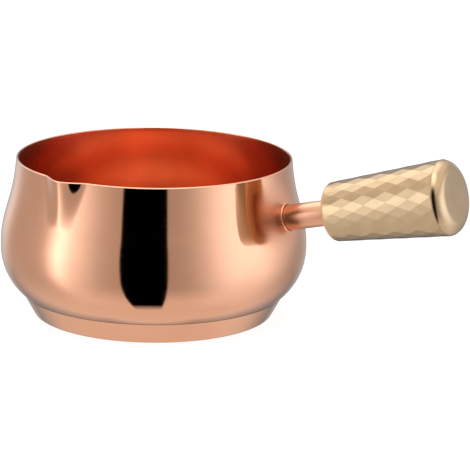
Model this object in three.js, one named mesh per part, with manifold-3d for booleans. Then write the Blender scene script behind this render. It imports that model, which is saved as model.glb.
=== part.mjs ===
// A bellied copper saucepan with one pouring lip, a capsule base and a faceted gold grip on a tube stem.
// Millimetres, +Z up. The origin is the middle of the foot's underside and the handle points along +X.

import * as THREE from 'three';
import { mergeVertices } from 'three/addons/utils/BufferGeometryUtils.js';
import Module from 'manifold-3d';

// Pan shell, outside sizes
const RIM_RADIUS = 71;
const PAN_HEIGHT = 81.9;
const BELLY_RADIUS = 79.1;
const BELLY_HEIGHT = 35.7;
const SHELL_WALL = 1.2;
const RIM_LEAN = 4.6; // degrees that the neck still leans inwards at the rim
const NECK_PULL = 24.6; // how far the rim's straight run reaches down the neck
const SHOULDER_PULL = 18.3; // how far the belly's upright run reaches up
const HIP_PULL = 14; // how far the belly's upright run reaches down
const CREASE_PULL = 4.5; // how far the shell's slope at the crease reaches out
const CREASE_SLOPE = 40; // degrees above level where the shell leaves the foot
const FLOOR_CORNER = 12; // width of the floor's curved edge, inside the crease

// Pouring lip, pinched out of the rim
const LIP_ANGLE = -99.5; // degrees from the handle, seen from above
const LIP_REACH = 5.2; // how far the nose stands out of the rim
const LIP_DEPTH = 28; // how far the pinch runs down the neck
const LIP_WIDTH = 28; // along the rim
const LIP_FADE = 1.4; // how softly the ridge rises out of the belly
const LIP_TOE_SHARE = 0.5; // width left at the bottom of the pinch
const LIP_NOSE = 0.14; // roundness of the ridge, as a share of the half width
const LIP_FLANK = 1.35; // how hollow the sides of the pinch are
const LIP_CROWDING = 0.75; // how closely the shell's upright edges crowd towards the lip

// Capsule base
const FOOT_RADIUS = 67.8; // where the shell and the foot meet in a crease
const FOOT_TAPER = 6.2; // how much narrower the foot is at the bottom
const FOOT_EDGE = 1.2; // rounding of the lower edge
const CAP_WALL = 1;
const DISC_THICKNESS = 6;
const CREASE_RISE = 4.3; // the crease's height above the floor's underside

// Stem
const HANDLE_DROP = 23; // from the rim down to where the handle's axis meets the wall
const HANDLE_TILT = 14; // degrees that the handle rises
const STEM_RADIUS = 6.5;
const STEM_WALL = 1;
const STEM_REACH = 29.3; // wall to the near face of the grip
const FLANGE_LAP = 1.1; // how far the root flange stands out around the stem
const FLANGE_THICKNESS = 3.2; // above the highest part of the wall that it covers
const FLANGE_LAND = 0.2; // flat left on top, inside the bevel
const INSERT_LENGTH = 14;

// Grip
const GRIP_LENGTH = 63;
const GRIP_NEAR_RADIUS = 14.9;
const GRIP_FAR_RADIUS = 19;
const GRIP_WALL = 3;
const GRIP_WEB = 5; // wall that the screw clamps
const GRIP_EDGE = 1.6; // rounding of the near edge
const SOCKET_DEPTH = 6; // how far the stem and its washer enter the grip
const FACETS_AROUND = 20;
const FACETS_ALONG = 5;
const FACET_TURN = 5; // degrees that the pattern is turned about the grip's axis

// End cap
const END_LENGTH = 5.1;
const END_ROUNDING = 6.8;
const END_SHOULDER = 0.2; // soft step between the cap and the facets
const SPIGOT_LENGTH = 8;
const SPIGOT_WALL = 1.6;

// Fasteners: one M6 screw with its washers
const SCREW_RADIUS = 3;
const SCREW_LENGTH = 20;
const SCREW_HEAD_RADIUS = 5;
const SCREW_HEAD_LENGTH = 6;
const HEX_KEY_RADIUS = 2.9; // corner radius of the hexagon socket
const HEX_KEY_DEPTH = 3;
const HEX_KEY_SIDES = 6;
const FLAT_WASHER_RADIUS = 6.2;
const FLAT_WASHER_THICKNESS = 1.2;
const SPRING_WASHER_RADIUS = 5.4;
const SPRING_WASHER_THICKNESS = 1.5;
const SPRING_WASHER_SLIT = 1.2;
const HEAT_WASHER_THICKNESS = 2;

// Clearances
const SEAT_GAP = 0.3; // between pieces that rest on each other
const SLIP_FIT = 0.2; // between a round piece and the hole that it sits in
const SCREW_HOLE_GAP = 0.3;
const CUT_MARGIN = 4; // how far a cutting body runs past what it cuts

// Facet counts of the round pieces
const SHELL_SEGMENTS = 72;
const FOOT_SEGMENTS = 48;
const ROUND_SEGMENTS = 40;
const SMALL_SEGMENTS = 24;
const FLOOR_STEPS = 3;
const HIP_STEPS = 6;
const NECK_STEPS = 9;
const ARC_STEPS = 5;
const RIM_STEPS = 4;

// Numerical limits
const WELD_TOLERANCE = 1e-4;
const BISECTIONS = 40;

const COPPER = { color: 0xd8926c, roughness: 0.14, metalness: 1 };
const GOLD = { color: 0xc9ab82, roughness: 0.32, metalness: 1 };
const ALUMINIUM = { color: 0xb9bcc0, roughness: 0.45, metalness: 1 };
const STEEL = { color: 0x9a9c9f, roughness: 0.35, metalness: 1 };
const HEAT_PLASTIC = { color: 0x1d1c1b, roughness: 0.7, metalness: 0 };

const wasm = await Module();
wasm.setup();

const radians = THREE.MathUtils.degToRad;
const point = (radius, height) => new THREE.Vector2(radius, height);

// Keep only the positions of a geometry, with shared corners merged and empty triangles left out.
function weld(geometry) {
  const bare = geometry.clone();
  bare.deleteAttribute('normal');
  bare.deleteAttribute('uv');
  const merged = mergeVertices(bare, WELD_TOLERANCE);
  const corners = merged.index.array;
  const kept = [];
  for (let i = 0; i < corners.length; i += 3) {
    const [a, b, c] = corners.slice(i, i + 3);
    if (a !== b && b !== c && c !== a) kept.push(a, b, c);
  }
  merged.setIndex(kept);
  return merged;
}

function toSolid(geometry) {
  const { attributes, index } = weld(geometry);
  return new wasm.Manifold(new wasm.Mesh({
    numProp: 3,
    vertProperties: new Float32Array(attributes.position.array),
    triVerts: new Uint32Array(index.array),
  }));
}

function fromSolid(solid) {
  const { vertProperties, triVerts } = solid.getMesh();
  const geometry = new THREE.BufferGeometry();
  geometry.setAttribute('position', new THREE.BufferAttribute(vertProperties, 3));
  geometry.setIndex(new THREE.BufferAttribute(triVerts, 1));
  geometry.computeVertexNormals();
  return geometry;
}

const cut = (geometry, ...tools) =>
  fromSolid(tools.reduce((solid, tool) => solid.subtract(toSolid(tool)), toSolid(geometry)));

// Turn an outline of (radius, height) points about +Z.
function revolve(outline, segments, startAngle = 0) {
  const lathe = new THREE.LatheGeometry(outline, segments, startAngle + Math.PI / 2);
  return lathe.rotateX(Math.PI / 2);
}

const ring = (inner, outer, from, to, segments) => revolve(
  [point(inner, from), point(outer, from), point(outer, to), point(inner, to), point(inner, from)],
  segments,
);

// Points of an arc in an outline, from one angle to another in degrees.
function arc(centre, radius, from, to, steps) {
  const curve = new THREE.EllipseCurve(
    centre.x, centre.y, radius, radius, radians(from), radians(to), to < from,
  );
  return curve.getPoints(steps);
}

// The shell's outside, from the flat of the floor out to the crease, up over the belly and in to the rim.
const undersideHeight = CAP_WALL + DISC_THICKNESS;
const creaseSlope = point(Math.cos(radians(CREASE_SLOPE)), Math.sin(radians(CREASE_SLOPE)));
const rimSlope = point(-Math.sin(radians(RIM_LEAN)), Math.cos(radians(RIM_LEAN)));
const crease = point(FOOT_RADIUS, undersideHeight + CREASE_RISE);
const belly = point(BELLY_RADIUS, BELLY_HEIGHT);
const rimStart = point(RIM_RADIUS, PAN_HEIGHT - SHELL_WALL / 2);
const floorEdge = point(FOOT_RADIUS - FLOOR_CORNER, undersideHeight);

const floorCurve = new THREE.CubicBezierCurve(
  floorEdge,
  floorEdge.clone().add(point(FLOOR_CORNER / 2, 0)),
  crease.clone().addScaledVector(creaseSlope, -FLOOR_CORNER / 2),
  crease,
);
const hipCurve = new THREE.CubicBezierCurve(
  crease,
  crease.clone().addScaledVector(creaseSlope, CREASE_PULL),
  belly.clone().add(point(0, -HIP_PULL)),
  belly,
);
const neckCurve = new THREE.CubicBezierCurve(
  belly,
  belly.clone().add(point(0, SHOULDER_PULL)),
  rimStart.clone().addScaledVector(rimSlope, -NECK_PULL),
  rimStart,
);

// How far along a curve, from 0 to 1, one of its coordinates passes a value, if it rises all the way.
function crossing(curve, coordinate, value) {
  let low = 0;
  let high = 1;
  for (let i = 0; i < BISECTIONS; i += 1) {
    const middle = (low + high) / 2;
    if (curve.getPoint(middle)[coordinate] < value) low = middle;
    else high = middle;
  }
  return low;
}

// Points along the shell's outside, moved out of the metal by a distance: a negative one moves inwards.
function shellSide(distance) {
  const side = [];
  const runs = [[floorCurve, FLOOR_STEPS], [hipCurve, HIP_STEPS], [neckCurve, NECK_STEPS]];
  for (const [curve, steps] of runs) {
    for (let i = side.length ? 1 : 0; i <= steps; i += 1) {
      const tangent = curve.getTangent(i / steps);
      side.push(curve.getPoint(i / steps).add(point(tangent.y, -tangent.x).multiplyScalar(distance)));
    }
  }
  return side;
}

// How far the pinch pushes the wall out at a height, a number of radians from the lip's middle.
function lipPush(height, offset) {
  const rise = THREE.MathUtils.clamp((height - PAN_HEIGHT + LIP_DEPTH) / LIP_DEPTH, 0, 1);
  const halfWidth = (LIP_WIDTH / 2 / RIM_RADIUS) * THREE.MathUtils.lerp(LIP_TOE_SHARE, 1, rise);
  const across = Math.abs(offset) / halfWidth;
  if (across >= 1) return 0;
  const foot = Math.hypot(1, LIP_NOSE);
  const ridge = (foot - Math.hypot(across, LIP_NOSE)) / (foot - LIP_NOSE);
  return LIP_REACH * rise ** LIP_FADE * ridge ** LIP_FLANK;
}

// Crowd the shell's upright edges towards the lip and pinch the lip out of the wall.
function pinchLip(geometry) {
  const { position } = geometry.attributes;
  const lipAngle = radians(LIP_ANGLE);
  for (let i = 0; i < position.count; i += 1) {
    const [x, y, z] = [position.getX(i), position.getY(i), position.getZ(i)];
    const turned = Math.atan2(y, x) - lipAngle;
    const even = Math.atan2(Math.sin(turned), Math.cos(turned));
    const offset = even - LIP_CROWDING * Math.sin(even);
    const radius = Math.hypot(x, y);
    const pushed = radius + lipPush(z, offset);
    position.setXY(i, pushed * Math.cos(lipAngle + offset), pushed * Math.sin(lipAngle + offset));
  }
  return geometry;
}

function panBody() {
  const outside = shellSide(0);
  const inside = shellSide(-SHELL_WALL).reverse();
  const rimCentre = rimStart.clone().lerp(inside[0], 0.5);
  const rim = arc(rimCentre, SHELL_WALL / 2, RIM_LEAN, 180 + RIM_LEAN, RIM_STEPS).slice(1, -1);
  const outline = [
    point(0, undersideHeight), ...outside, ...rim, ...inside, point(0, undersideHeight + SHELL_WALL),
  ];
  return pinchLip(revolve(outline, SHELL_SEGMENTS, radians(LIP_ANGLE)));
}

// Under the shell: the capsule base
const footSlope = Math.atan2(FOOT_TAPER, crease.y);
const footSide = (height) => FOOT_RADIUS - (crease.y - height) * Math.tan(footSlope);
const sideWall = CAP_WALL / Math.cos(footSlope); // the leaning side's wall, measured level
const sideGap = SEAT_GAP / Math.cos(footSlope);
const seatDrop = SEAT_GAP / Math.cos(radians(CREASE_SLOPE)); // gap under the rising shell, measured upright
const underShell = (radius) => floorCurve.getPoint(crossing(floorCurve, 'x', radius)).y;

function baseCap() {
  const edgeCentre = point(footSide(FOOT_EDGE) - FOOT_EDGE / Math.cos(footSlope), FOOT_EDGE);
  const lip = FOOT_RADIUS - SEAT_GAP;
  const innerLip = lip - sideWall;
  const innerFoot = footSide(CAP_WALL) - sideWall;
  const outline = [
    point(0, 0),
    ...arc(edgeCentre, FOOT_EDGE, -90, -THREE.MathUtils.radToDeg(footSlope), ARC_STEPS),
    point(lip, underShell(lip) - seatDrop),
    point(innerLip, underShell(innerLip) - seatDrop),
    point(innerFoot, CAP_WALL),
    point(0, CAP_WALL),
  ];
  return revolve(outline, FOOT_SEGMENTS);
}

function heatDisc() {
  const foot = footSide(CAP_WALL) - sideWall - sideGap;
  const shoulder = footSide(undersideHeight) - sideWall - 2 * sideGap;
  const shoulderHeight = underShell(shoulder) - seatDrop;
  const rise = floorCurve.getPoints(FLOOR_STEPS).filter((p) => p.x < shoulder - SEAT_GAP).reverse();
  const outline = [
    point(0, CAP_WALL),
    point(foot, CAP_WALL),
    point(shoulder, shoulderHeight),
    ...rise.map((p) => point(p.x, p.y - seatDrop)),
    point(floorEdge.x - SEAT_GAP, undersideHeight),
    point(0, undersideHeight),
  ];
  return revolve(outline, FOOT_SEGMENTS);
}

// Handle frame: it starts where the handle's axis meets the wall, and its +Z runs along the handle.
const handle = new THREE.Group();
const rootShare = crossing(neckCurve, 'y', PAN_HEIGHT - HANDLE_DROP);
const root = neckCurve.getPoint(rootShare);
const rootTangent = neckCurve.getTangent(rootShare);
handle.position.set(root.x, 0, root.y);
handle.rotation.y = Math.PI / 2 - radians(HANDLE_TILT);
handle.updateMatrix();

// How far the wall under the handle is out of square with it
const wallSkew = Math.atan2(-rootTangent.x, rootTangent.y) - radians(HANDLE_TILT);

const stemBore = STEM_RADIUS - STEM_WALL;
const socketEnd = STEM_REACH + SOCKET_DEPTH;
const heatWasherEnd = socketEnd - SEAT_GAP;
const stemEnd = heatWasherEnd - HEAT_WASHER_THICKNESS - SEAT_GAP;
const webEnd = socketEnd + GRIP_WEB;
const flatWasherStart = webEnd + SEAT_GAP;
const springWasherStart = flatWasherStart + FLAT_WASHER_THICKNESS + SEAT_GAP;
const screwHeadStart = springWasherStart + SPRING_WASHER_THICKNESS + SEAT_GAP;
const gripEnd = STEM_REACH + GRIP_LENGTH;
const screwHole = SCREW_RADIUS + SCREW_HOLE_GAP;
const seatRadius = GRIP_FAR_RADIUS * Math.cos(Math.PI / FACETS_AROUND) - GRIP_WALL;

// The pan's outside as a solid in the handle's frame, grown by the gap that a seated piece keeps.
function wallTool() {
  const side = shellSide(SEAT_GAP);
  const outline = [point(0, side[0].y), ...side, point(0, side[side.length - 1].y)];
  return revolve(outline, SHELL_SEGMENTS).applyMatrix4(handle.matrix.clone().invert());
}

function handleStem() {
  const tube = ring(stemBore, STEM_RADIUS, -CUT_MARGIN, stemEnd, ROUND_SEGMENTS);
  return cut(tube, wallTool());
}

function stemFlange() {
  const inner = STEM_RADIUS + SLIP_FIT;
  const outer = STEM_RADIUS + FLANGE_LAP;
  const land = inner + FLANGE_LAND;
  const top = FLANGE_THICKNESS + outer * Math.abs(Math.tan(wallSkew));
  const outline = [
    point(inner, -CUT_MARGIN),
    point(outer, -CUT_MARGIN),
    point(outer, top - (outer - land)),
    point(land, top),
    point(inner, top),
    point(inner, -CUT_MARGIN),
  ];
  return cut(revolve(outline, ROUND_SEGMENTS), wallTool());
}

const stemInsert = () =>
  ring(screwHole, stemBore - SLIP_FIT, stemEnd - INSERT_LENGTH, stemEnd, ROUND_SEGMENTS);

const heatWasher = () =>
  ring(screwHole, STEM_RADIUS, heatWasherEnd - HEAT_WASHER_THICKNESS, heatWasherEnd, ROUND_SEGMENTS);

// A cone of rhombic facets: each ring of corners is turned half a facet past the ring before it.
function facetedCone() {
  const rows = 2 * FACETS_ALONG;
  const halfFacet = Math.PI / FACETS_AROUND;
  const cone = new THREE.CylinderGeometry(
    GRIP_FAR_RADIUS, GRIP_NEAR_RADIUS, GRIP_LENGTH, FACETS_AROUND, rows,
  );
  cone.rotateX(Math.PI / 2).translate(0, 0, GRIP_LENGTH / 2);
  const { position } = cone.attributes;
  const corner = new THREE.Vector3();
  const axis = new THREE.Vector3(0, 0, 1);
  for (let i = 0; i < position.count; i += 1) {
    corner.fromBufferAttribute(position, i);
    const row = Math.round((corner.z / GRIP_LENGTH) * rows);
    corner.applyAxisAngle(axis, radians(FACET_TURN) - row * halfFacet);
    position.setXYZ(i, corner.x, corner.y, corner.z);
  }
  return cone;
}

function gripSleeve() {
  const edgeCentre = point(GRIP_NEAR_RADIUS - GRIP_EDGE, GRIP_EDGE);
  const envelope = revolve([
    point(0, 0),
    ...arc(edgeCentre, GRIP_EDGE, -90, 0, ARC_STEPS),
    point(GRIP_NEAR_RADIUS + CUT_MARGIN, GRIP_EDGE + CUT_MARGIN),
    point(GRIP_FAR_RADIUS + CUT_MARGIN, GRIP_LENGTH + CUT_MARGIN),
    point(0, GRIP_LENGTH + CUT_MARGIN),
  ], ROUND_SEGMENTS);
  const socket = STEM_RADIUS + SLIP_FIT;
  const webFace = SOCKET_DEPTH + GRIP_WEB;
  const seatStart = GRIP_LENGTH - SPIGOT_LENGTH - SEAT_GAP;
  const bore = revolve([
    point(0, -CUT_MARGIN),
    point(socket, -CUT_MARGIN),
    point(socket, SOCKET_DEPTH),
    point(screwHole, SOCKET_DEPTH),
    point(screwHole, webFace),
    point(GRIP_NEAR_RADIUS - GRIP_WALL, webFace),
    point(seatRadius - SPIGOT_WALL / 2, seatStart),
    point(seatRadius, seatStart),
    point(seatRadius, GRIP_LENGTH + CUT_MARGIN),
    point(0, GRIP_LENGTH + CUT_MARGIN),
  ], ROUND_SEGMENTS);
  const body = toSolid(facetedCone()).intersect(toSolid(envelope));
  return fromSolid(body.subtract(toSolid(bore)));
}

function handleScrew() {
  const headEnd = screwHeadStart + SCREW_HEAD_LENGTH;
  const screw = revolve([
    point(0, screwHeadStart - SCREW_LENGTH),
    point(SCREW_RADIUS, screwHeadStart - SCREW_LENGTH),
    point(SCREW_RADIUS, screwHeadStart),
    point(SCREW_HEAD_RADIUS, screwHeadStart),
    point(SCREW_HEAD_RADIUS, headEnd),
    point(0, headEnd),
  ], SMALL_SEGMENTS);
  const key = new THREE.CylinderGeometry(HEX_KEY_RADIUS, HEX_KEY_RADIUS, 2 * HEX_KEY_DEPTH, HEX_KEY_SIDES);
  key.rotateX(Math.PI / 2).translate(0, 0, headEnd);
  return cut(screw, key);
}

function flatWasher() {
  const end = flatWasherStart + FLAT_WASHER_THICKNESS;
  return ring(screwHole, FLAT_WASHER_RADIUS, flatWasherStart, end, SMALL_SEGMENTS);
}

function springWasher() {
  const slit = Math.asin(SPRING_WASHER_SLIT / 2 / SPRING_WASHER_RADIUS);
  const split = new THREE.Shape();
  split.absarc(0, 0, SPRING_WASHER_RADIUS, slit, 2 * Math.PI - slit, false);
  split.absarc(0, 0, screwHole, 2 * Math.PI - slit, slit, true);
  split.closePath();
  const washer = new THREE.ExtrudeGeometry(split, {
    depth: SPRING_WASHER_THICKNESS, bevelEnabled: false, curveSegments: SMALL_SEGMENTS,
  });
  return washer.translate(0, 0, springWasherStart);
}

function endCap() {
  const inner = gripEnd + SEAT_GAP;
  const face = gripEnd + END_LENGTH;
  const domeCentre = point(GRIP_FAR_RADIUS - END_ROUNDING, face - END_ROUNDING);
  const domeStart = inner + END_SHOULDER;
  const domeAngle = Math.asin((domeStart - domeCentre.y) / END_ROUNDING);
  const dome = arc(domeCentre, END_ROUNDING, THREE.MathUtils.radToDeg(domeAngle), 90, 2 * ARC_STEPS);
  const shoulder = new THREE.QuadraticBezierCurve(
    point(dome[0].x - END_SHOULDER, inner), point(dome[0].x, inner), dome[0],
  );
  const spigot = seatRadius - SLIP_FIT;
  const outline = [
    point(0, inner),
    point(spigot - SPIGOT_WALL, inner),
    point(spigot - SPIGOT_WALL, gripEnd - SPIGOT_LENGTH),
    point(spigot, gripEnd - SPIGOT_LENGTH),
    point(spigot, inner),
    ...shoulder.getPoints(ARC_STEPS).slice(0, -1),
    ...dome,
    point(0, face),
  ];
  return revolve(outline, ROUND_SEGMENTS);
}

function piece(name, geometry, finish) {
  const mesh = new THREE.Mesh(weld(geometry), new THREE.MeshStandardMaterial(finish));
  mesh.geometry.computeVertexNormals();
  mesh.name = name;
  return mesh;
}

handle.add(
  piece('stem_flange', stemFlange(), COPPER),
  piece('handle_stem', handleStem(), COPPER),
  piece('stem_insert', stemInsert(), STEEL),
  piece('heat_washer', heatWasher(), HEAT_PLASTIC),
  piece('handle_screw', handleScrew(), STEEL),
  piece('flat_washer', flatWasher(), STEEL),
  piece('spring_washer', springWasher(), STEEL),
  piece('end_cap', endCap(), GOLD),
);
const grip = piece('grip_sleeve', gripSleeve(), GOLD);
grip.position.z = STEM_REACH;
handle.add(grip);

const saucepan = new THREE.Group();
saucepan.add(
  piece('pan_body', panBody(), COPPER),
  piece('heat_disc', heatDisc(), ALUMINIUM),
  piece('base_cap', baseCap(), COPPER),
  handle,
);

export default saucepan;
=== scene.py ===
"""A bellied copper saucepan with a pouring lip and a faceted gold grip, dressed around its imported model.

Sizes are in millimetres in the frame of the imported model: +Z is up, the origin is the middle of the foot's
underside and the handle points along +X. Meshes are scaled to metres as they are finished.
"""

import logging
import math
from collections.abc import Callable, Iterable, Sequence
from dataclasses import dataclass, field
from enum import Enum

import bmesh
import bpy
from mathutils import Matrix, Quaternion, Vector
from mathutils.geometry import interpolate_bezier


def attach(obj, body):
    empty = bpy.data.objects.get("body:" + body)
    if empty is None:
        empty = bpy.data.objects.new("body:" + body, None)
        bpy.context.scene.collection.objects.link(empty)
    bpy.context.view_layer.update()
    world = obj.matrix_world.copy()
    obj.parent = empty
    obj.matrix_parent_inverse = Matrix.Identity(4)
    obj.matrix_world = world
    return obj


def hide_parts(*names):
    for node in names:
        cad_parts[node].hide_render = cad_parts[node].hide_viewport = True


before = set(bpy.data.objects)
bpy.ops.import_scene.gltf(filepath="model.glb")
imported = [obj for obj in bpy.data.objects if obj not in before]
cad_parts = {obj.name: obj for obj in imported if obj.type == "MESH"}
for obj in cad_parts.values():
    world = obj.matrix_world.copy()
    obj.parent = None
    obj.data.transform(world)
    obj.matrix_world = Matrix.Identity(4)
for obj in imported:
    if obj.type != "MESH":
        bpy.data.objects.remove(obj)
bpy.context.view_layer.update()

log = logging.getLogger("saucepan")

METRES = 0.001
BODY = "root"
PHOTO_SIDE = 470
SENSOR_WIDTH = 36.0
MERGE_DISTANCE = 1e-4
FULL_TURN = 2 * math.pi
SHARP_ANGLE = math.radians(50)
TUBE_RIM_ANGLE = math.radians(60)
ACROSS_RINGS = 0.25  # of a turn
LEVEL_FACE = 0.9  # height of the normal past which a face counts as level
HALVINGS = 30  # of the range in a search, which leaves far less than a micrometre
# A noise texture's values lie mostly between these.
MARK_RANGE = (0.3, 0.7)
PATCH_RANGE = (0.35, 0.65)
MARK_DETAIL = 2.0
PATCH_DETAIL = 3.0


def linear(code: str) -> tuple[float, float, float, float]:
    """Turn an sRGB hex colour into the linear colour that a node takes.

    Args:
        code: Six hex digits after a hash.

    Returns:
        Linear red, green and blue, and an alpha of 1.
    """
    shares = [int(code[i:i + 2], 16) / 255 for i in (1, 3, 5)]
    return (*(s / 12.92 if s <= 0.04045 else ((s + 0.055) / 1.055) ** 2.4 for s in shares), 1.0)


def add_node(
    tree: bpy.types.NodeTree, kind: str, inputs: dict[str | int, object] | None = None, **settings: object
) -> bpy.types.Node:
    """Add a node with its settings, values and links.

    Args:
        tree: The node tree that gets the node.
        kind: The node's type, without its ShaderNode prefix.
        inputs: A value or an output socket for each input, by the input's name or number.
        settings: The node's own options.

    Returns:
        The new node.
    """
    node = tree.nodes.new(f"ShaderNode{kind}")
    for option, value in settings.items():
        setattr(node, option, value)
    for key, value in (inputs or {}).items():
        if isinstance(value, bpy.types.NodeSocket):
            tree.links.new(value, node.inputs[key])
        else:
            node.inputs[key].default_value = value
    return node


def bare_material(name: str) -> bpy.types.Material:
    """Make a material with an empty node tree.

    Args:
        name: The material's name.

    Returns:
        The new material.
    """
    made = bpy.data.materials.new(name)
    made.use_nodes = True
    made.node_tree.nodes.clear()
    return made


def arc(centre: Vector, radius: float, start: float, end: float, steps: int) -> list[Vector]:
    """Points of an arc in an outline.

    Args:
        centre: The arc's centre, as radius and height.
        radius: The arc's own radius.
        start: The first point's angle in degrees above level.
        end: The last point's angle.
        steps: How many steps the arc has.

    Returns:
        The arc's points, both ends included.
    """
    angles = [math.radians(start + (end - start) * i / steps) for i in range(steps + 1)]
    return [centre + radius * Vector((math.cos(a), math.sin(a))) for a in angles]


def offset(outline: Sequence[Vector], distance: float) -> list[Vector]:
    """Move an outline that runs upwards sideways, out of the metal.

    Args:
        outline: The outline's points, as radius and height.
        distance: How far outwards, so a negative one moves it into the metal.

    Returns:
        The moved points.
    """
    moved = []
    for i, place in enumerate(outline):
        run = outline[min(i + 1, len(outline) - 1)] - outline[max(i - 1, 0)]
        moved.append(place - distance * run.orthogonal().normalized())
    return moved


def spun(outline: Iterable[Vector], steps: int) -> bmesh.types.BMesh:
    """Spin an outline about +Z into a closed surface with its faces pointing out.

    Args:
        outline: Points as radius and height.
        steps: Steps in a full turn.

    Returns:
        The new mesh, in millimetres.
    """
    bm = bmesh.new()
    verts = [bm.verts.new((p.x, 0, p.y)) for p in outline]
    edges = [bm.edges.new(pair) for pair in zip(verts, verts[1:])]
    bmesh.ops.spin(
        bm, geom=verts + edges, cent=(0, 0, 0), axis=(0, 0, 1), angle=FULL_TURN, steps=steps, use_merge=True
    )
    bmesh.ops.remove_doubles(bm, verts=bm.verts, dist=MERGE_DISTANCE)
    bmesh.ops.recalc_face_normals(bm, faces=bm.faces)
    for face in bm.faces:
        face.smooth = True
    return bm


def finished(
    name: str, bm: bmesh.types.BMesh, materials: Sequence[bpy.types.Material], place: Matrix | None = None
) -> bpy.types.Object:
    """Make a piece out of a mesh in millimetres, standing at the origin.

    Args:
        name: The piece's name.
        bm: Its mesh, which is freed.
        materials: Its materials, in the order of the faces' material numbers.
        place: Where the mesh's own frame lies in the model's frame.

    Returns:
        The piece, linked to the scene.
    """
    bmesh.ops.transform(bm, matrix=Matrix.Scale(METRES, 4) @ (place or Matrix.Identity(4)), verts=bm.verts)
    mesh = bpy.data.meshes.new(name)
    bm.to_mesh(mesh)
    bm.free()
    for material in materials:
        mesh.materials.append(material)
    piece = bpy.data.objects.new(name, mesh)
    bpy.context.scene.collection.objects.link(piece)
    return piece


def seat(piece: bpy.types.Object, slot: str, *nodes: str) -> bpy.types.Object:
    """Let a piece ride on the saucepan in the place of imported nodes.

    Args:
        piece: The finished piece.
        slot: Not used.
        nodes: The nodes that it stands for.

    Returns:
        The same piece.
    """
    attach(piece, BODY)
    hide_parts(*nodes)
    log.info("%s: %d faces for %s", piece.name, len(piece.data.polygons), ", ".join(nodes))
    return piece


class Lay(Enum):
    """How the marks of the last tool run over a metal piece."""

    TURNED = "rings about the axis"
    GRAIN = "no direction"


@dataclass(frozen=True)
class DullPatch:
    """A place that the buffing wheel can't reach, so the metal round it stays satin."""

    centre: Vector
    radius: float
    fade: float
    roughness: float


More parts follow.
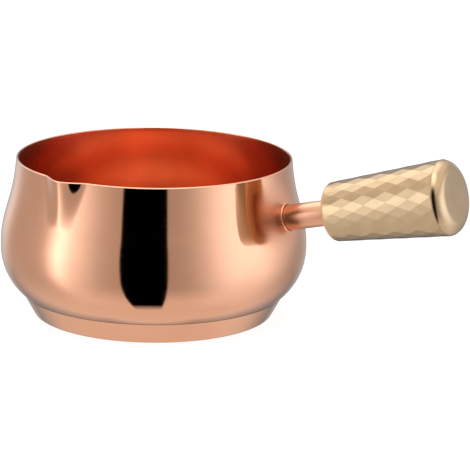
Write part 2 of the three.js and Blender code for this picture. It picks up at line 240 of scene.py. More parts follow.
@dataclass(frozen=True)
class MetalFinish:
    """A bare metal surface with the marks that polishing, turning or brushing left in it."""

    name: str
    colour: str
    shade: str
    roughness: float
    roughness_spread: float
    mark_spacing: float
    mark_depth: float
    patch_size: float
    lay: Lay = Lay.TURNED
    streaking: float = 0.0

    def material(self, place: Matrix | None = None, dull: DullPatch | None = None) -> bpy.types.Material:
        """Build the metal's material.

        Args:
            place: The frame whose +Z is the axis that the piece was turned about.
            dull: A place that stays satin.

        Returns:
            The new material.
        """
        made = bare_material(self.name)
        tree = made.node_tree
        place = place or Matrix.Identity(4)
        coords = add_node(tree, "TexCoord")
        local = add_node(
            tree,
            "Mapping",
            {
                "Vector": coords.outputs["Object"],
                "Location": place.to_translation() * METRES,
                "Rotation": place.to_euler(),
                "Scale": (METRES, METRES, METRES),
            },
            vector_type="TEXTURE",
        )
        marks = self.marks(tree, local.outputs["Vector"])
        patches = add_node(
            tree,
            "TexNoise",
            {"Vector": local.outputs["Vector"], "Scale": 1 / self.patch_size, "Detail": PATCH_DETAIL},
        )
        ramp = add_node(tree, "ValToRGB", {"Fac": patches.outputs["Fac"]})
        for stop, position, colour in zip(ramp.color_ramp.elements, PATCH_RANGE, (self.shade, self.colour)):
            stop.position = position
            stop.color = linear(colour)
        worn = add_node(
            tree,
            "MapRange",
            {
                "Value": marks,
                "From Min": MARK_RANGE[0],
                "From Max": MARK_RANGE[1],
                "To Min": self.roughness - self.roughness_spread,
                "To Max": self.roughness + self.roughness_spread,
            },
        )
        roughness = worn.outputs["Result"]
        if dull:
            roughness = self.dulled(tree, roughness, coords.outputs["Object"], dull)
        bump = add_node(
            tree, "Bump", {"Height": marks, "Strength": 1.0, "Distance": self.mark_depth * METRES}
        )
        shader = add_node(
            tree,
            "BsdfPrincipled",
            {
                "Base Color": ramp.outputs["Color"],
                "Metallic": 1.0,
                "Roughness": roughness,
                "Normal": bump.outputs["Normal"],
            },
        )
        if self.streaking:
            rings = add_node(tree, "Tangent", direction_type="RADIAL", axis="Z")
            tree.links.new(rings.outputs["Tangent"], shader.inputs["Tangent"])
            shader.inputs["Anisotropic"].default_value = self.streaking
            shader.inputs["Anisotropic Rotation"].default_value = ACROSS_RINGS
        add_node(tree, "OutputMaterial", {"Surface": shader.outputs["BSDF"]})
        return made

    def dulled(
        self,
        tree: bpy.types.NodeTree,
        roughness: bpy.types.NodeSocket,
        spot: bpy.types.NodeSocket,
        dull: DullPatch,
    ) -> bpy.types.NodeSocket:
        """Roughen the metal round a place that stays satin.

        Args:
            tree: The material's node tree.
            roughness: The metal's roughness elsewhere.
            spot: The place on the surface, in metres.
            dull: The place that stays satin.

        Returns:
            The roughness all over.
        """
        away = add_node(tree, "VectorMath", {0: spot, 1: dull.centre * METRES}, operation="DISTANCE")
        unreached = add_node(
            tree,
            "MapRange",
            {
                "Value": away.outputs["Value"],
                "From Min": (dull.radius - dull.fade) * METRES,
                "From Max": (dull.radius + dull.fade) * METRES,
                "To Min": dull.roughness,
                "To Max": 0.0,
            },
            interpolation_type="SMOOTHSTEP",
        )
        both = add_node(tree, "Math", {0: roughness, 1: unreached.outputs["Result"]}, operation="ADD")
        return both.outputs["Value"]

    def marks(self, tree: bpy.types.NodeTree, local: bpy.types.NodeSocket) -> bpy.types.NodeSocket:
        """Draw the tool marks.

        Args:
            tree: The material's node tree.
            local: Millimetres in the piece's own frame.

        Returns:
            The marks' height, from 0 to 1.
        """
        vector = local
        if self.lay is Lay.TURNED:
            parts = add_node(tree, "SeparateXYZ", {"Vector": local})
            flat = add_node(tree, "CombineXYZ", {"X": parts.outputs["X"], "Y": parts.outputs["Y"]})
            reach = add_node(tree, "VectorMath", {0: flat.outputs["Vector"]}, operation="LENGTH")
            turn = add_node(
                tree, "Math", {0: parts.outputs["Y"], 1: parts.outputs["X"]}, operation="ARCTAN2"
            )
            rings = add_node(
                tree,
                "CombineXYZ",
                {"X": reach.outputs["Value"], "Y": turn.outputs["Value"], "Z": parts.outputs["Z"]},
            )
            vector = rings.outputs["Vector"]
        noise = add_node(
            tree, "TexNoise", {"Vector": vector, "Scale": 1 / self.mark_spacing, "Detail": MARK_DETAIL}
        )
        return noise.outputs["Fac"]


# Spun copper, buffed to a mirror: it shows the room sharply, with hair lines round the axis.
MIRROR_COPPER = MetalFinish(
    "buffed_copper",
    colour="#D9A080",
    shade="#D69C7B",
    roughness=0.06,
    roughness_spread=0.02,
    mark_spacing=0.6,
    mark_depth=0.0004,
    patch_size=25,
)
# The same copper on a drawn tube, brushed along rather than buffed: its reflections are soft.
TUBE_COPPER = MetalFinish(
    "drawn_copper",
    colour="#D9A080",
    shade="#D4997A",
    roughness=0.25,
    roughness_spread=0.01,
    mark_spacing=0.5,
    mark_depth=0.0003,
    patch_size=12,
)
# Copper left satin by the spinning tool, with broad soft highlights. Its colour is redder than the outside
# copper's: a painted reflection of light turning red between the walls.
SATIN_COPPER_PAINTED_REFLECTION = MetalFinish(
    "satin_copper_painted_reflection",
    colour="#E7946E",
    shade="#E18C64",
    roughness=0.25,
    roughness_spread=0.015,
    mark_spacing=0.8,
    mark_depth=0.0005,
    patch_size=12,
    streaking=0.6,
)
# Aluminium anodised champagne gold, facets cut and left satin: each facet shows one soft tone.
FACET_GOLD = MetalFinish(
    "anodised_gold_facets",
    colour="#B99C79",
    shade="#B39673",
    roughness=0.16,
    roughness_spread=0.02,
    mark_spacing=0.35,
    mark_depth=0.0008,
    patch_size=6,
)
# The same anodised gold on a turned cap: fine rings, and a highlight that runs round the edge.
CAP_GOLD = MetalFinish(
    "anodised_gold_turned",
    colour="#C0A27F",
    shade="#BA9C79",
    roughness=0.2,
    roughness_spread=0.03,
    mark_spacing=0.3,
    mark_depth=0.001,
    patch_size=8,
)
# Pressed aluminium, dull and grey.
CORE_ALUMINIUM = MetalFinish(
    "pressed_aluminium",
    colour="#C4C7CA",
    shade="#B4B7BB",
    roughness=0.42,
    roughness_spread=0.08,
    mark_spacing=0.7,
    mark_depth=0.01,
    patch_size=10,
    lay=Lay.GRAIN,
)
# Plain steel fasteners, turned and lightly oiled: a soft grey sheen.
TURNED_STEEL = MetalFinish(
    "turned_steel",
    colour="#A8AAAD",
    shade="#96989B",
    roughness=0.34,
    roughness_spread=0.08,
    mark_spacing=0.4,
    mark_depth=0.006,
    patch_size=4,
)


@dataclass(frozen=True)
class MatteFinish:
    """A surface that scatters light, with a fine grain."""

    name: str
    colour: str
    shade: str
    roughness: float
    grain: float
    grain_depth: float

    def material(self) -> bpy.types.Material:
        """Build the matte material."""
        made = bare_material(self.name)
        tree = made.node_tree
        coords = add_node(tree, "TexCoord")
        noise = add_node(
            tree, "TexNoise", {"Vector": coords.outputs["Object"], "Scale": 1 / (self.grain * METRES)}
        )
        ramp = add_node(tree, "ValToRGB", {"Fac": noise.outputs["Fac"]})
        ramp.color_ramp.elements[0].color = linear(self.colour)
        ramp.color_ramp.elements[1].color = linear(self.shade)
        bump = add_node(
            tree, "Bump", {"Height": noise.outputs["Fac"], "Distance": self.grain_depth * METRES}
        )
        shader = add_node(
            tree,
            "BsdfPrincipled",
            {
                "Base Color": ramp.outputs["Color"],
                "Roughness": self.roughness,
                "Normal": bump.outputs["Normal"],
            },
        )
        add_node(tree, "OutputMaterial", {"Surface": shader.outputs["BSDF"]})
        return made


# Black phenolic plastic with the grain of its mould: dark, with no clear highlight.
MOULDED_PLASTIC = MatteFinish(
    "phenolic_moulding",
    colour="#1C1B1A",
    shade="#262423",
    roughness=0.6,
    grain=0.5,
    grain_depth=0.02,
)
# The grip's near end, grit blasted before its gold was anodised, so it scatters instead of mirroring. Its
# tone, lighter and more orange than the facets' gold, is a painted glow of the copper's bounced light.
BLASTED_GOLD_PAINTED_GLOW = MatteFinish(
    "anodised_gold_blasted_painted_glow",
    colour="#D8A878",
    shade="#D2A070",
    roughness=0.5,
    grain=0.3,
    grain_depth=0.01,
)


@dataclass
class PanShell:
    """The spun copper shell: floor, hip, belly, neck, rounded rim and pouring lip."""

    rim_radius: float = 71.0
    height: float = 81.9
    belly_radius: float = 79.1
    belly_height: float = 35.7
    wall: float = 1.2
    rim_lean: float = 4.6
    neck_pull: float = 24.6
    shoulder_pull: float = 18.3
    hip_pull: float = 14.0
    crease_pull: float = 4.5
    crease_slope: float = 40.0
    floor_corner: float = 12.0
    foot_radius: float = 67.8
    underside: float = 7.0
    crease_rise: float = 4.3
    lip_angle: float = -99.1
    lip_reach: float = 5.0
    lip_depth: float = 25.0
    lip_width: float = 28.0
    lip_fade: float = 1.05
    lip_toe_share: float = 0.5
    lip_nose: float = 0.4
    lip_flank: float = 1.5
    lip_crowding: float = 0.82
    turn_steps: int = 300
    floor_steps: int = 10
    hip_steps: int = 26
    neck_steps: int = 34
    rim_steps: int = 8
    rim_cut: float = 0.75
    rim_cut_slope: float = 30.0
    rim_soft: float = 0.2
    dull_radius: float = 16.0
    dull_fade: float = 16.0
    dull_roughness: float = 0.55

    @property
    def crease(self) -> Vector:
        """Where the shell meets the foot, as radius and height."""
        return Vector((self.foot_radius, self.underside + self.crease_rise))

    def outside(self) -> list[Vector]:
        """Points of the outside, from the flat of the floor up to the rim."""
        rise, lean = math.radians(self.crease_slope), math.radians(self.rim_lean)
        slope = Vector((math.cos(rise), math.sin(rise)))
        upwards = Vector((-math.sin(lean), math.cos(lean)))
        crease, half_corner = self.crease, self.floor_corner / 2
        flat = Vector((self.foot_radius - self.floor_corner, self.underside))
        belly = Vector((self.belly_radius, self.belly_height))
        rim = Vector((self.rim_radius, self.height - self.wall / 2))
        corner = (flat, flat + Vector((half_corner, 0)), crease - half_corner * slope, crease)
        hip = (crease, crease + self.crease_pull * slope, belly - Vector((0, self.hip_pull)), belly)
        neck = (belly, belly + Vector((0, self.shoulder_pull)), rim - self.neck_pull * upwards, rim)
        points = [flat]
        for curve, steps in ((corner, self.floor_steps), (hip, self.hip_steps), (neck, self.neck_steps)):
            points += interpolate_bezier(*curve, steps + 1)[1:]
        return [p.to_2d() for p in points]

    def rim(self, outer: Vector, inner: Vector) -> list[Vector]:
        """Points over the rim: a bright cut that slopes outwards, softened into both sides.

        Args:
            outer: Where the outside ends.
            inner: Where the inside starts.

        Returns:
            The points between them, from the outside in.
        """
        slope = math.radians(self.rim_cut_slope)
        run = Vector((-math.cos(slope), math.sin(slope)))
        edge = outer + Vector((0, self.wall / 2 - self.rim_cut * run.y - self.rim_soft))
        start, end = edge + self.rim_soft * Vector((run.x, 1)) / 2, edge + self.rim_cut * run
        lead_in = interpolate_bezier(outer, edge, edge, start, self.rim_steps)
        corner = Vector((inner.x, end.y))
        lead_out = interpolate_bezier(end, end + self.rim_soft * run, corner, inner, self.rim_steps)
        return [p.to_2d() for p in (*lead_in[1:], *lead_out[:-1])]

    def radius_at(self, height: float) -> float:
        """Outside radius of the belly or neck at a height.

        Args:
            height: Above the foot's underside, from the crease up to the rim.

        Returns:
            The radius, without the lip.
        """
        points = self.outside()[self.floor_steps:]
        for low, high in zip(points, points[1:]):
            if low.y <= height <= high.y:
                return low.lerp(high, (height - low.y) / (high.y - low.y)).x
        raise ValueError(f"no wall at height {height}")

    def lip_push(self, height: float, turn: float) -> float:
        """How far the lip's pinch pushes the wall out.

        Args:
            height: Above the foot's underside.
            turn: Radians from the middle of the lip.

        Returns:
            The push in millimetres.
        """
        rise = min(max((height - self.height + self.lip_depth) / self.lip_depth, 0), 1)
        share = self.lip_toe_share + (1 - self.lip_toe_share) * rise
        across = abs(turn) * self.rim_radius / (share * self.lip_width / 2)
        if across >= 1:
            return 0
        foot = math.hypot(1, self.lip_nose)
        ridge = (foot - math.hypot(across, self.lip_nose)) / (foot - self.lip_nose)
        return self.lip_reach * rise**self.lip_fade * ridge**self.lip_flank

    def pinch(self, bm: bmesh.types.BMesh) -> None:
        """Crowd the upright edges towards the lip and pinch the lip out of the wall."""
        middle = math.radians(self.lip_angle)
        for vert in bm.verts:
            x, y, z = vert.co
            even = math.remainder(math.atan2(y, x) - middle, FULL_TURN)
            turn = even - self.lip_crowding * math.sin(even)
            radius = math.hypot(x, y) + self.lip_push(z, turn)
            vert.co = (radius * math.cos(middle + turn), radius * math.sin(middle + turn), z)

    def build(self, stem_root: Vector) -> bpy.types.Object:
        """Model and dress the shell, buffed outside and satin inside, with painted red reflections inside.

        Args:
            stem_root: Where the handle's stem meets the wall.

        Returns:
            The finished shell.
        """
        outside = self.outside()
        inside = offset(outside, -self.wall)[::-1]
        rim = self.rim(outside[-1], inside[0])
        flat_steps = (0.0, outside[0].x / 3, 2 * outside[0].x / 3)
        under = [Vector((r, self.underside)) for r in flat_steps]
        floor = [Vector((r, self.underside + self.wall)) for r in flat_steps[::-1]]
        bm = spun([*under, *outside, *rim, *inside, *floor], self.turn_steps)
        bmesh.ops.rotate(bm, verts=bm.verts, matrix=Matrix.Rotation(math.radians(self.lip_angle), 3, "Z"))
        self.pinch(bm)
        bm.normal_update()
        for face in bm.faces:
            middle = face.calc_center_median()
            inwards = face.normal.xy.dot(middle.xy) < 0 or face.normal.z > LEVEL_FACE
            # Faces inside take the satin copper, whose redder colour is a painted reflection of light
            # between the walls.
            face.material_index = int(inwards and middle.z < self.height - self.wall / 2)
        dull = DullPatch(stem_root, self.dull_radius, self.dull_fade, self.dull_roughness)
        piece = finished("copper_shell", bm, [MIRROR_COPPER.material(dull=dull), SATIN_COPPER_PAINTED_REFLECTION.material()])
        return seat(piece, "copper_shell", "pan_body")


@dataclass
class FootCap:
    """The pressed copper cap under the pan, with a soft lower edge."""

    shell: PanShell
    taper: float = 6.2
    edge: float = 1.2
    wall: float = 1.0
    gap: float = 0.1
    turn_steps: int = 192
    edge_steps: int = 8

    def build(self) -> bpy.types.Object:
        """Model and dress the cap."""
        crease = self.shell.crease
        slope = math.atan2(self.taper, crease.y)
        top = Vector((crease.x - self.gap, crease.y - 2 * self.gap))
        low = top.x - (top.y - self.edge) * math.tan(slope)
        centre = Vector((low - self.edge / math.cos(slope), self.edge))
        outline = [
            Vector((0, 0)),
            Vector((centre.x / 2, 0)),
            *arc(centre, self.edge, -90, -math.degrees(slope), self.edge_steps),
            top,
            top - Vector((self.wall, self.wall)),
            Vector((low - self.wall, self.wall)),
            Vector((0, self.wall)),
        ]
        piece = finished("copper_foot", spun(outline, self.turn_steps), [MIRROR_COPPER.material()])
        piece.data.set_sharp_from_angle(angle=SHARP_ANGLE)
        return seat(piece, "copper_base", "base_cap")


@dataclass
class Handle:
    """The stem, its flange, the faceted grip and its end cap, on one axis that rises from the wall."""

    shell: PanShell
    drop: float = 23.0
    tilt: float = 14.0
    stem_radius: float = 6.5
    stem_wall: float = 1.0
    stem_reach: float = 29.3
    stem_bevel: float = 0.15
    socket_depth: float = 3.4
    socket_slack: float = 1.0
    weld_depth: float = 0.2
    collar_gap: float = 0.02
    collar_wall: float = 0.4
    collar_height: float = 3.0
    bead_radius: float = 0.6
    bead_start: float = -60.0
    bead_end: float = 110.0
    grip_length: float = 63.0
    near_radius: float = 14.9
    far_radius: float = 19.0
    near_edge: float = 1.6
    socket_gap: float = 0.2
    facets_around: int = 20
    facets_along: int = 5
    facet_turn: float = 5.0
    grip_wall: float = 3.0
    bore_depth: float = 8.0
    cap_gap: float = 0.06
    cap_length: float = 5.1
    cap_rounding: float = 6.8
    cap_shoulder: float = 0.12
    shoulder_pulls: tuple[float, float] = (0.4, 0.6)
    turn_steps: int = 96
    arc_steps: int = 8
    place: Matrix = field(init=False)

    def __post_init__(self) -> None:
        """Set the handle's frame where its axis meets the wall, with +Z along the handle."""
        height = self.shell.height - self.drop
        root = Vector((self.shell.radius_at(height), 0, height))
        turn = Matrix.Rotation(math.radians(90 - self.tilt), 4, "Y")
        self.place = Matrix.Translation(root) @ turn

    def wall_depth(self, x: float, y: float) -> float:
        """How far along the handle the pan's wall lies.

        Args:
            x: Across the handle, downwards.
            y: Across the handle, sideways.

        Returns:
            The distance from the handle's own origin.
        """
        low, high = -self.stem_radius, self.stem_radius
        for _ in range(HALVINGS):
            middle = (low + high) / 2
            spot = self.place @ Vector((x, y, middle))
            if spot.xy.length < self.shell.radius_at(spot.z):
                low = middle
            else:
                high = middle
        return low

    def on_wall(self, bm: bmesh.types.BMesh, reach: float) -> None:
        """Fit a mesh's near end to the wall.

        Args:
            bm: A mesh that stands on a flat wall.
            reach: Only what lies nearer than this follows the wall.
        """
        for vert in bm.verts:
            if vert.co.z < reach:
                vert.co.z += self.wall_depth(vert.co.x, vert.co.y)

    def build(self) -> None:
        """Model and dress the handle's pieces."""
        self.build_stem()
        self.build_flange()
        self.build_grip()
        self.build_cap()

    def build_stem(self) -> bpy.types.Object:
        """Model the tube from the wall into the grip."""
        bore = self.stem_radius - self.stem_wall
        end = self.stem_reach + self.socket_depth
        outline = [
            Vector((bore, -self.weld_depth)),
            Vector((self.stem_radius, -self.weld_depth)),
            Vector((self.stem_radius, end)),
            Vector((bore, end)),
            Vector((bore, -self.weld_depth)),
        ]
        bm = spun(outline, self.turn_steps)
        self.on_wall(bm, self.stem_radius)
        rims = [e for e in bm.edges if e.calc_face_angle(0) > TUBE_RIM_ANGLE]
        bmesh.ops.bevel(
            bm, geom=rims, offset=self.stem_bevel, segments=2, profile=0.5, affect="EDGES", material=-1
        )
        piece = finished("copper_stem", bm, [TUBE_COPPER.material(self.place)], self.place)
        return seat(piece, "copper_stem", "handle_stem")

    def build_flange(self) -> bpy.types.Object:
        """Model the collar where the stem meets the wall, with a round bead at its end."""
        inner = self.stem_radius + self.collar_gap
        outer = inner + self.collar_wall
        bead = Vector((outer, self.collar_height))
        outline = [
            Vector((inner, -self.weld_depth)),
            Vector((outer, -self.weld_depth)),
            Vector((outer, self.collar_height - self.bead_radius)),
            *arc(bead, self.bead_radius, self.bead_start, self.bead_end, 2 * self.arc_steps),
            Vector((inner, self.collar_height + self.bead_radius / 2)),
            Vector((inner, -self.weld_depth)),
        ]
        bm = spun(outline, self.turn_steps)
        self.on_wall(bm, self.collar_height / 2)
        piece = finished("copper_flange", bm, [TUBE_COPPER.material(self.place)], self.place)
        piece.data.set_sharp_from_angle(angle=SHARP_ANGLE)
        return seat(piece, "copper_stem", "stem_flange")

    def facets(self) -> bmesh.types.BMesh:
        """Make the cone of rhombic cuts with crisp borders, open at both ends."""
        rows = 2 * self.facets_along
        half_facet = math.pi / self.facets_around
        bm = bmesh.new()
        bmesh.ops.create_circle(
            bm,
            segments=self.facets_around,
            radius=self.near_radius,
            matrix=Matrix.Rotation(math.radians(self.facet_turn), 4, "Z"),
        )
        ring = list(bm.edges)
        for row in range(1, rows + 1):
            made = bmesh.ops.extrude_edge_only(bm, edges=ring)["geom"]
            verts = [g for g in made if isinstance(g, bmesh.types.BMVert)]
            ring = [g for g in made if isinstance(g, bmesh.types.BMEdge)]
            before, after = (
                self.near_radius + (self.far_radius - self.near_radius) * r / rows for r in (row - 1, row)
            )
            bmesh.ops.scale(bm, verts=verts, vec=(after / before, after / before, 1))
            bmesh.ops.rotate(bm, verts=verts, matrix=Matrix.Rotation(half_facet, 3, "Z"))
            bmesh.ops.translate(bm, verts=verts, vec=(0, 0, self.grip_length / rows))
        bmesh.ops.triangulate(bm, faces=bm.faces, quad_method="SHORT_EDGE")
        level = [
            e for e in bm.edges
            if not e.is_boundary and abs(e.verts[0].co.z - e.verts[1].co.z) < MERGE_DISTANCE
        ]
        bmesh.ops.dissolve_edges(bm, edges=level, use_verts=False)
        bmesh.ops.recalc_face_normals(bm, faces=bm.faces)
        for face in bm.faces:
            face.smooth = True
        for edge in bm.edges:
            edge.smooth = False
        return bm

    def build_grip(self) -> bpy.types.Object:
        """Model the grip: crisp facets, a rounded near end and an open far end."""
        bm = self.facets()
        bmesh.ops.bisect_plane(
            bm,
            geom=[*bm.verts, *bm.edges, *bm.faces],
            plane_co=(0, 0, self.near_edge),
            plane_no=(0, 0, 1),
            clear_inner=True,
        )
        self.close_near_end(bm)
        self.close_far_end(bm)
        bmesh.ops.recalc_face_normals(bm, faces=bm.faces)
        piece = finished(
            "gold_grip",
            bm,
            [FACET_GOLD.material(self.place), BLASTED_GOLD_PAINTED_GLOW.material()],
            self.place @ Matrix.Translation((0, 0, self.stem_reach)),
        )
        return seat(piece, "gold_grip", "grip_sleeve")

    def end_ring(self, bm: bmesh.types.BMesh, height: float) -> list[bmesh.types.BMEdge]:
        """Find the open edges of a mesh at a height.

        Args:
            bm: The mesh.
            height: Along the handle.

        Returns:
            The open edges there.
        """
        return [
            e for e in bm.edges
            if e.is_boundary and all(abs(v.co.z - height) < self.near_edge / 2 for v in e.verts)
        ]

    def draw_in(
        self, bm: bmesh.types.BMesh, ring: list[bmesh.types.BMEdge], move: Callable[[Vector], Vector]
    ) -> list[bmesh.types.BMEdge]:
        """Extrude a ring of open edges and move the new ring.

        Args:
            bm: The mesh.
            ring: The open edges.
            move: Gives each new corner its place.

        Returns:
            The new ring's edges.
        """
        made = bmesh.ops.extrude_edge_only(bm, edges=ring)["geom"]
        for part in made:
            if isinstance(part, bmesh.types.BMVert):
                part.co = move(part.co.copy())
            elif isinstance(part, bmesh.types.BMFace):
                part.smooth = True
                # Material 1 is the blasted gold, whose orange tone is a painted glow of the copper's bounced
                # light.
                part.material_index = 1
        return [g for g in made if isinstance(g, bmesh.types.BMEdge)]

    def close_near_end(self, bm: bmesh.types.BMesh) -> None:
        """Round the near edge and run the end face into the socket for the stem."""
        ring = self.end_ring(bm, self.near_edge)
        step = math.radians(90 / self.arc_steps)
        for i in range(1, self.arc_steps + 1):
            shrink = self.near_edge * (math.cos((i - 1) * step) - math.cos(i * step))
            height = self.near_edge * (1 - math.sin(i * step))

            def inwards(corner: Vector) -> Vector:
                """Move a corner along the rounding."""
                flat = corner.xy - shrink * corner.xy.normalized()
                return Vector((*flat, height))

            ring = self.draw_in(bm, ring, inwards)
        socket = self.stem_radius + self.socket_gap
        ring = self.draw_in(bm, ring, lambda c: Vector((*(socket * c.xy.normalized()), c.z)))
        ring = self.draw_in(bm, ring, lambda c: c + Vector((0, 0, self.socket_depth + self.socket_slack)))
        bmesh.ops.edgeloop_fill(bm, edges=ring)

    def close_far_end(self, bm: bmesh.types.BMesh) -> None:
        """Run the far end face into the bore that holds the end cap."""
        ring = self.end_ring(bm, self.grip_length)
        bore = self.far_radius - self.grip_wall
        ring = self.draw_in(bm, ring, lambda c: Vector((*(bore * c.xy.normalized()), c.z)))
        ring = self.draw_in(bm, ring, lambda c: c - Vector((0, 0, self.bore_depth)))
        bmesh.ops.edgeloop_fill(bm, edges=ring)

    def build_cap(self) -> bpy.types.Object:
        """Model the smooth end cap: a soft shoulder, a broad rounding and a flat face."""
        start = self.cap_gap
        centre = Vector((self.far_radius - self.cap_rounding, self.cap_length - self.cap_rounding))
        swell = start + self.cap_shoulder
        angle = math.degrees(math.asin((swell - centre.y) / self.cap_rounding))
        dome = arc(centre, self.cap_rounding, angle, 90, 2 * self.arc_steps)
        corner = Vector((dome[0].x, start))
        shoulder_start = corner - Vector((self.cap_shoulder, 0))
        ends = (shoulder_start, dome[0])
        pulls = [corner.lerp(end, share) for end, share in zip(ends, self.shoulder_pulls)]
        shoulder = interpolate_bezier(ends[0], *pulls, ends[1], self.arc_steps)
        spigot = self.far_radius - self.grip_wall - self.socket_gap
        outline = [
            Vector((0, -self.bore_depth / 2)),
            Vector((spigot, -self.bore_depth / 2)),
            Vector((spigot, start)),
            *[p.to_2d() for p in shoulder[:-1]],
            *dome,
            Vector((dome[-1].x / 2, self.cap_length)),
            Vector((0, self.cap_length)),
        ]
        bm = spun(outline, self.turn_steps)
        place = self.place @ Matrix.Translation((0, 0, self.stem_reach + self.grip_length))
        piece = finished("gold_end_cap", bm, [CAP_GOLD.material(place)], place)
        piece.data.set_sharp_from_angle(angle=SHARP_ANGLE)
        return seat(piece, "gold_cap", "end_cap")


def dress_hidden_nodes() -> None:
    """Give the pieces inside the base and the handle their own finishes."""
    steel = TURNED_STEEL.material()
    finishes = {
        "heat_disc": CORE_ALUMINIUM.material(),
        "heat_washer": MOULDED_PLASTIC.material(),
        "stem_insert": steel,
        "handle_screw": steel,
        "flat_washer": steel,
        "spring_washer": steel,
    }
    for node, material in finishes.items():
        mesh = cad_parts[node].data
        mesh.materials.clear()
        mesh.materials.append(material)
        log.info("%s: %s", node, material.name)


@dataclass(frozen=True)
class SoftBox:
    """A soft light round the pan, which fades in from low to full and out from high to end.

    Angles are in degrees, to the right of the camera and above level.
    """

    heading: float
    spread: float
    falloff: float
    low: float
    full: float
    high: float
    end: float
    level: float


@dataclass(frozen=True)
class RoundLight:
    """A round soft light above the pan. Angles are as a soft box's."""

    heading: float
    rise: float
    radius: float
    fade: float
    level: float


@dataclass(frozen=True)
class DarkGap:
    """A dark stretch of the surroundings, which leaves a share of the light, its rest.

    It fades out above its top and below its bottom, and its flare leans its left edge outwards with
    height. Angles are as a soft box's.
    """

    heading: float
    half_width: float
    edge: float
    top: float
    fade: float
    rest: float
    bottom: float
    flare: float = 0.0


@dataclass
class Studio:
    """White surroundings with soft boxes and dark gaps, a pale floor, and the camera."""

    azimuth: float = 30.0
    elevation: float = 12.77
    distance: float = 1400.0
    target: Vector = field(default_factory=lambda: Vector((0, 0, 81.6)))
    aim: Vector = field(default_factory=lambda: Vector((41.67, 11.18, 43.18)))
    roll: float = 0.97
    focal_pixels: float = 2720.0
    box_tint: str = "#E4F1FF"
    wall_level: float = 0.6
    wall_tilt: float = 0.13
    wall_start: float = -57.0
    wall_end: float = -19.0
    floor_level: float = 1.03
    ceiling_level: float = 1.28
    ceiling_start: float = 14.0
    ceiling_end: float = 40.0
    floor_side: float = 12000.0
    floor_drop: float = 0.1
    floor_glow: float = 0.9
    floor_grey: float = 0.16
    boxes: tuple[SoftBox, ...] = (
        SoftBox(heading=-76, spread=9, falloff=2.0, low=-45, full=0, high=12, end=26, level=1.4),
        SoftBox(heading=-67, spread=20, falloff=2.0, low=-64, full=9, high=12, end=30, level=1.25),
        SoftBox(heading=76, spread=37, falloff=2.5, low=-66, full=5, high=14, end=32, level=1.95),
        SoftBox(heading=-150, spread=12, falloff=2.0, low=-24, full=6, high=20, end=45, level=0.85),
        SoftBox(heading=148, spread=14, falloff=2.0, low=-15, full=5, high=10, end=30, level=0.25),
        SoftBox(heading=-138, spread=22, falloff=2.5, low=28, full=40, high=46, end=62, level=0.5),
    )
    overheads: tuple[RoundLight, ...] = (
        RoundLight(heading=-160, rise=66, radius=30, fade=9, level=1.0),
        RoundLight(heading=0, rise=72, radius=16, fade=8, level=1.5),
    )
    gaps: tuple[DarkGap, ...] = (
        DarkGap(
            heading=-7.2, half_width=17.8, edge=0.9, top=38, fade=12, rest=0.0, bottom=-58, flare=0.014
        ),
        DarkGap(heading=180, half_width=13, edge=7, top=8, fade=16, rest=0.65, bottom=-24),
        DarkGap(heading=180, half_width=32, edge=24, top=-42, fade=26, rest=0.4, bottom=-48),
    )

    def build(self) -> None:
        """Set up the camera, the surroundings and the floor."""
        bpy.context.scene.view_settings.view_transform = "Standard"
        self.build_camera()
        self.build_world()
        self.build_floor()

    def build_camera(self) -> None:
        """Place the camera at the photograph's viewing angle."""
        data = bpy.data.cameras.new("camera")
        data.sensor_width = SENSOR_WIDTH
        data.lens = self.focal_pixels / PHOTO_SIDE * SENSOR_WIDTH
        camera = bpy.data.objects.new("camera", data)
        bpy.context.scene.collection.objects.link(camera)
        a, e = math.radians(self.azimuth), math.radians(self.elevation)
        back = Vector((math.sin(a) * math.cos(e), -math.cos(a) * math.cos(e), math.sin(e)))
        spot = self.target + self.distance * back
        level = (self.aim - spot).to_track_quat("-Z", "Y")
        camera.rotation_mode = "QUATERNION"
        camera.location = spot * METRES
        camera.rotation_quaternion = level @ Quaternion((0, 0, 1), math.radians(self.roll))
        bpy.context.scene.camera = camera

    def build_world(self) -> None:
        """Light the pan from all round, and show plain white to the camera."""
        world = bpy.data.worlds.new("studio")
        bpy.context.scene.world = world
        world.use_nodes = True
        tree = world.node_tree
        tree.nodes.clear()
        coords = add_node(tree, "TexCoord")
        facing = add_node(
            tree,
            "Mapping",
            {"Vector": coords.outputs["Generated"], "Rotation": (0, 0, math.radians(90 - self.azimuth))},
        )
        parts = add_node(tree, "SeparateXYZ", {"Vector": facing.outputs["Vector"]})
        heading = add_node(
            tree, "Math", {0: parts.outputs["Y"], 1: parts.outputs["X"]}, operation="ARCTAN2"
        )
        rise = add_node(tree, "Math", {0: parts.outputs["Z"]}, operation="ARCSINE")
        turn, height = heading.outputs["Value"], rise.outputs["Value"]
        light = self.wall_light(tree, turn, height)
        for box in self.boxes:
            light = add_node(
                tree, "VectorMath", {0: light, 1: self.box_light(tree, box, turn, height)}, operation="ADD"
            ).outputs["Vector"]
        for overhead in self.overheads:
            glow = self.round_light(tree, overhead, facing.outputs["Vector"])
            light = add_node(tree, "VectorMath", {0: light, 1: glow}, operation="ADD").outputs["Vector"]
        for gap in self.gaps:
            share = self.gap_share(tree, gap, turn, height)
            light = add_node(
                tree, "VectorMath", {0: light, "Scale": share}, operation="SCALE"
            ).outputs["Vector"]
        lit = add_node(tree, "Background", {"Color": light, "Strength": 1.0})
        plain = add_node(tree, "Background", {"Color": linear("#FFFFFF"), "Strength": 1.0})
        path = add_node(tree, "LightPath")
        seen = add_node(
            tree,
            "MixShader",
            {
                0: path.outputs["Is Camera Ray"],
                1: lit.outputs["Background"],
                2: plain.outputs["Background"],
            },
        )
        add_node(tree, "OutputWorld", {"Surface": seen.outputs["Shader"]})

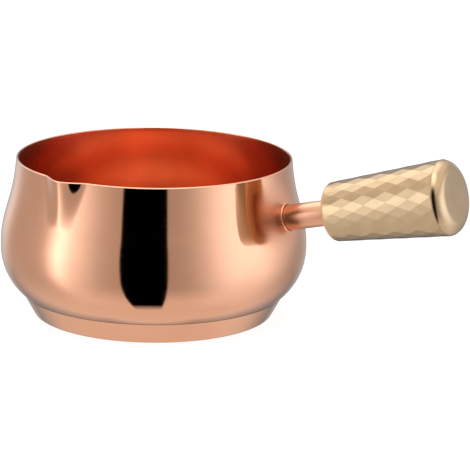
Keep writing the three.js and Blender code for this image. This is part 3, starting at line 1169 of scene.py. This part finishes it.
    def wall_light(
        self, tree: bpy.types.NodeTree, heading: bpy.types.NodeSocket, rise: bpy.types.NodeSocket
    ) -> bpy.types.NodeSocket:
        """Light of the plain surroundings: a bright floor, dimmer walls and a bright ceiling.

        Args:
            tree: The world's node tree.
            heading: The direction's heading, in radians.
            rise: The angle above level, in radians.

        Returns:
            The light.
        """
        sides = add_node(tree, "Math", {0: heading}, operation="SINE")
        wall = add_node(
            tree,
            "Math",
            {0: sides.outputs["Value"], 1: -self.wall_tilt, 2: self.wall_level},
            operation="MULTIPLY_ADD",
        )
        lower = add_node(
            tree,
            "MapRange",
            {
                "Value": rise,
                "From Min": math.radians(self.wall_start),
                "From Max": math.radians(self.wall_end),
                "To Min": self.floor_level,
                "To Max": wall.outputs["Value"],
            },
            interpolation_type="SMOOTHSTEP",
        )
        upper = add_node(
            tree,
            "MapRange",
            {
                "Value": rise,
                "From Min": math.radians(self.ceiling_start),
                "From Max": math.radians(self.ceiling_end),
                "To Min": lower.outputs["Result"],
                "To Max": self.ceiling_level,
            },
            interpolation_type="SMOOTHSTEP",
        )
        white = linear("#FFFFFF")[:3]
        light = add_node(
            tree, "VectorMath", {0: white, "Scale": upper.outputs["Result"]}, operation="SCALE"
        )
        return light.outputs["Vector"]

    def turn_from(
        self, tree: bpy.types.NodeTree, heading: bpy.types.NodeSocket, middle: float
    ) -> bpy.types.NodeSocket:
        """Angle away from a heading, without a sign.

        Args:
            tree: The world's node tree.
            heading: The direction's heading, in radians.
            middle: The heading to measure from, in degrees.

        Returns:
            The angle in radians.
        """
        turned = add_node(tree, "Math", {0: heading, 1: math.radians(middle)}, operation="SUBTRACT")
        wrapped = add_node(
            tree, "Math", {0: turned.outputs["Value"], 1: math.pi, 2: -math.pi}, operation="WRAP"
        )
        return add_node(tree, "Math", {0: wrapped.outputs["Value"]}, operation="ABSOLUTE").outputs["Value"]

    def box_light(
        self,
        tree: bpy.types.NodeTree,
        box: SoftBox,
        heading: bpy.types.NodeSocket,
        rise: bpy.types.NodeSocket,
    ) -> bpy.types.NodeSocket:
        """Light that a soft box adds.

        Args:
            tree: The world's node tree.
            box: The soft box.
            heading: The direction's heading, in radians.
            rise: The angle above level, in radians.

        Returns:
            The light.
        """
        turn = self.turn_from(tree, heading, box.heading)
        share = add_node(tree, "Math", {0: turn, 1: math.radians(box.spread)}, operation="DIVIDE")
        power = add_node(tree, "Math", {0: share.outputs["Value"], 1: box.falloff}, operation="POWER")
        minus = add_node(tree, "Math", {0: power.outputs["Value"], 1: -1.0}, operation="MULTIPLY")
        across = add_node(tree, "Math", {0: minus.outputs["Value"]}, operation="EXPONENT")
        bottom = add_node(
            tree,
            "MapRange",
            {"Value": rise, "From Min": math.radians(box.low), "From Max": math.radians(box.full)},
            interpolation_type="SMOOTHSTEP",
        )
        top = add_node(
            tree,
            "MapRange",
            {
                "Value": rise,
                "From Min": math.radians(box.high),
                "From Max": math.radians(box.end),
                "To Min": box.level,
                "To Max": 0.0,
            },
            interpolation_type="SMOOTHSTEP",
        )
        upright = add_node(
            tree, "Math", {0: bottom.outputs["Result"], 1: top.outputs["Result"]}, operation="MULTIPLY"
        )
        glow = add_node(
            tree, "Math", {0: across.outputs["Value"], 1: upright.outputs["Value"]}, operation="MULTIPLY"
        )
        tint = linear(self.box_tint)[:3]
        light = add_node(tree, "VectorMath", {0: tint, "Scale": glow.outputs["Value"]}, operation="SCALE")
        return light.outputs["Vector"]

    def round_light(
        self, tree: bpy.types.NodeTree, light: RoundLight, direction: bpy.types.NodeSocket
    ) -> bpy.types.NodeSocket:
        """Light that a round soft light adds.

        Args:
            tree: The world's node tree.
            light: The round light.
            direction: The direction, with the camera's heading along +X.

        Returns:
            The light.
        """
        heading, rise = math.radians(light.heading), math.radians(light.rise)
        middle = (math.cos(rise) * math.cos(heading), math.cos(rise) * math.sin(heading), math.sin(rise))
        closeness = add_node(tree, "VectorMath", {0: direction, 1: middle}, operation="DOT_PRODUCT")
        glow = add_node(
            tree,
            "MapRange",
            {
                "Value": closeness.outputs["Value"],
                "From Min": math.cos(math.radians(light.radius + light.fade)),
                "From Max": math.cos(math.radians(light.radius - light.fade)),
                "To Max": light.level,
            },
            interpolation_type="SMOOTHSTEP",
        )
        tint = linear(self.box_tint)[:3]
        tinted = add_node(tree, "VectorMath", {0: tint, "Scale": glow.outputs["Result"]}, operation="SCALE")
        return tinted.outputs["Vector"]

    def gap_share(
        self,
        tree: bpy.types.NodeTree,
        gap: DarkGap,
        heading: bpy.types.NodeSocket,
        rise: bpy.types.NodeSocket,
    ) -> bpy.types.NodeSocket:
        """Share of the light that a dark gap leaves.

        Args:
            tree: The world's node tree.
            gap: The gap.
            heading: The direction's heading, in radians.
            rise: The angle above level, in radians.

        Returns:
            The share.
        """
        leant = add_node(tree, "Math", {0: rise, 1: gap.flare, 2: heading}, operation="MULTIPLY_ADD")
        turn = self.turn_from(tree, leant.outputs["Value"], gap.heading)
        narrowed = add_node(tree, "Math", {0: rise, 1: -gap.flare, 2: turn}, operation="MULTIPLY_ADD")
        aside = add_node(
            tree,
            "MapRange",
            {
                "Value": narrowed.outputs["Value"],
                "From Min": math.radians(gap.half_width - gap.edge),
                "From Max": math.radians(gap.half_width + gap.edge),
                "To Min": gap.rest,
            },
            interpolation_type="SMOOTHSTEP",
        )
        above = add_node(
            tree,
            "MapRange",
            {
                "Value": rise,
                "From Min": math.radians(gap.top),
                "From Max": math.radians(gap.top + gap.fade),
            },
            interpolation_type="SMOOTHSTEP",
        )
        below = add_node(
            tree,
            "MapRange",
            {
                "Value": rise,
                "From Min": math.radians(gap.bottom),
                "From Max": math.radians(gap.bottom - gap.fade),
            },
        )
        ends = add_node(
            tree, "Math", {0: above.outputs["Result"], 1: below.outputs["Result"]}, operation="MAXIMUM"
        )
        share = add_node(
            tree, "Math", {0: aside.outputs["Result"], 1: ends.outputs["Value"]}, operation="MAXIMUM"
        )
        return share.outputs["Value"]

    def build_floor(self) -> None:
        """Lay a pale floor that shows white with the pan's shadow on it."""
        bm = bmesh.new()
        bmesh.ops.create_grid(bm, x_segments=1, y_segments=1, size=self.floor_side / 2)
        bmesh.ops.translate(bm, verts=bm.verts, vec=(0, 0, -self.floor_drop))
        paint = bare_material("pale_floor")
        tree = paint.node_tree
        grey = [self.floor_grey] * 3 + [1.0]
        matte = add_node(tree, "BsdfDiffuse", {"Color": grey})
        glow = add_node(tree, "Emission", {"Color": linear("#FFFFFF"), "Strength": self.floor_glow})
        both = add_node(tree, "AddShader", {0: matte.outputs["BSDF"], 1: glow.outputs["Emission"]})
        add_node(tree, "OutputMaterial", {"Surface": both.outputs["Shader"]})
        floor = finished("floor", bm, [paint])
        # Reflections show the pale ground of the surroundings instead.
        floor.visible_glossy = False


def main() -> None:
    """Build the studio and the saucepan's pieces in order."""
    logging.basicConfig(level=logging.INFO, format="%(message)s")
    Studio().build()
    shell = PanShell()
    handle = Handle(shell)
    shell.build(handle.place.to_translation())
    FootCap(shell).build()
    handle.build()
    dress_hidden_nodes()


if __name__ == "__main__":
    main()
